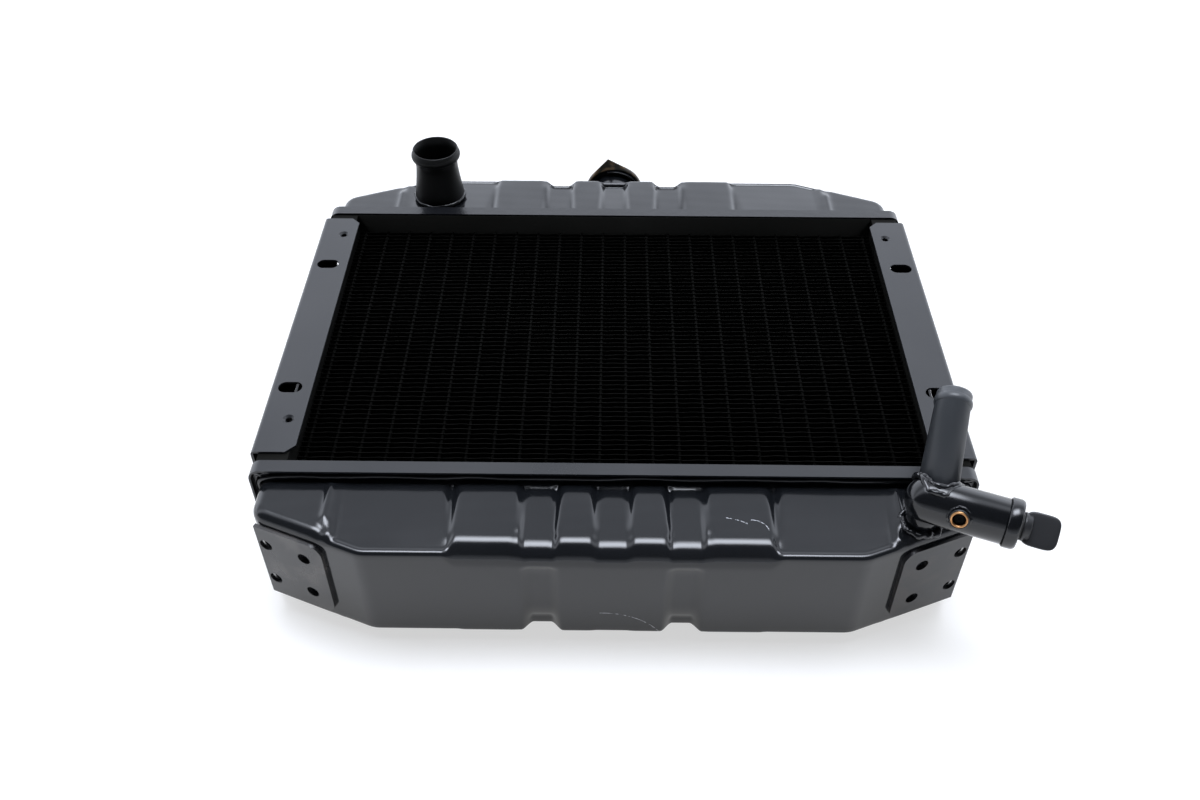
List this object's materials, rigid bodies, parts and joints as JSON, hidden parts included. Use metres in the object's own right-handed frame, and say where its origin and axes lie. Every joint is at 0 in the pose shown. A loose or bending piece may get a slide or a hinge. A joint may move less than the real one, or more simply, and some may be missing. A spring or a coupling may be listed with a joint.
{
  "type": "car radiator",
  "caption": "Engine radiator: tube-and-fin core between pressed tanks, flanged side angles, inlet and outlet hose necks, drain plug and pressure cap.",
  "frame": {"origin": "centre of the four slots in the front flanges, on the plane of the flanges", "axes": "+X across the core, +Y from the bottom tank to the top tank, +Z out of the face that carries the hose necks"},
  "size_m": [0.5738, 0.5116, 0.1712],
  "materials": {
    "tank_paint": "gloss black",
    "header_paint": "semi-gloss black",
    "solder": "black paint over solder",
    "angle_paint": "satin black",
    "plate_paint": "thin black paint",
    "core_paint": "matte black",
    "neck_paint": "satin black",
    "pipe_paint": "gloss black",
    "filler_paint": "gloss black",
    "brass": "bare",
    "drain_plastic": "moulded",
    "rubber": "matte",
    "cap_steel": "aged zinc and lacquer",
    "spring_steel": "bare",
    "vacuum_brass": "bare"
  },
  "bodies": {
    "radiator": {"front_angle_right": "angle_paint", "front_angle_left": "angle_paint", "rear_angle_right": "angle_paint", "rear_angle_left": "angle_paint", "side_plate_right": "angle_paint", "side_plate_left": "angle_paint", "core_tubes": "core_paint", "core_fins": "core_paint", "top_header_plate": "header_paint", "bottom_header_plate": "header_paint", "top_seam": "solder", "bottom_seam": "solder", "top_tank": "tank_paint", "bottom_tank": "tank_paint", "mount_plate_right": "plate_paint", "mount_plate_left": "plate_paint", "inlet_neck": "neck_paint", "inlet_ring": "solder", "outlet_pipe": "pipe_paint", "outlet_neck": "neck_paint", "outlet_collar": "pipe_paint", "sensor_bung": "brass", "drain_seat": "brass", "filler_neck": "filler_paint", "overflow_tube": "filler_paint"},
    "cap_stack": {"cap_disc_spring": "cap_steel", "cap_guide": "brass", "cap_rivet": "cap_steel", "cap_spring": "spring_steel"},
    "cap_shell": {"cap_shell": "cap_steel"},
    "pressure_valve": {"pressure_valve": "cap_steel", "valve_seal": "rubber", "vacuum_spring": "spring_steel"},
    "vacuum_valve": {"vacuum_valve": "vacuum_brass"},
    "drain_washer": {"drain_washer": "rubber"},
    "drain_plug": {"drain_plug": "drain_plastic"}
  },
  "joints": [
    {"name": "cap_lift", "type": "slide", "parent": "radiator", "child": "cap_stack", "axis": [0, 1, 0], "range_m": [0, 0.002]},
    {"name": "cap_turn", "type": "hinge", "parent": "cap_stack", "child": "cap_shell", "pos_m": [0, 0.267, -0.043], "axis": [0, 1, 0], "range_deg": [0, 60]},
    {"name": "pressure_lift", "type": "slide", "parent": "cap_stack", "child": "pressure_valve", "axis": [0, 1, 0], "range_m": [0, 0.002], "stiffness_N_per_m": 8000, "springref_m": -0.007, "deforming": ["cap_spring"]},
    {"name": "vacuum_drop", "type": "slide", "parent": "pressure_valve", "child": "vacuum_valve", "axis": [0, -1, 0], "range_m": [0, 0.0012], "stiffness_N_per_m": 60, "springref_m": -0.001, "deforming": ["vacuum_spring"]},
    {"name": "drain_back_out", "type": "slide", "parent": "radiator", "child": "drain_washer", "axis": [0.9336, -0.3584, 0], "range_m": [0, 0.0045]},
    {"name": "drain_turn", "type": "hinge", "parent": "drain_washer", "child": "drain_plug", "pos_m": [0.27915, -0.22594, 0.014], "axis": [0.9336, -0.3584, 0], "range_deg": [0, 1080]}
  ],
  "couplings": [
    {"joint": "cap_lift", "follows": "cap_turn", "m_per_rad": 0.0019},
    {"joint": "drain_back_out", "follows": "drain_turn", "m_per_rad": 0.000238}
  ]
}
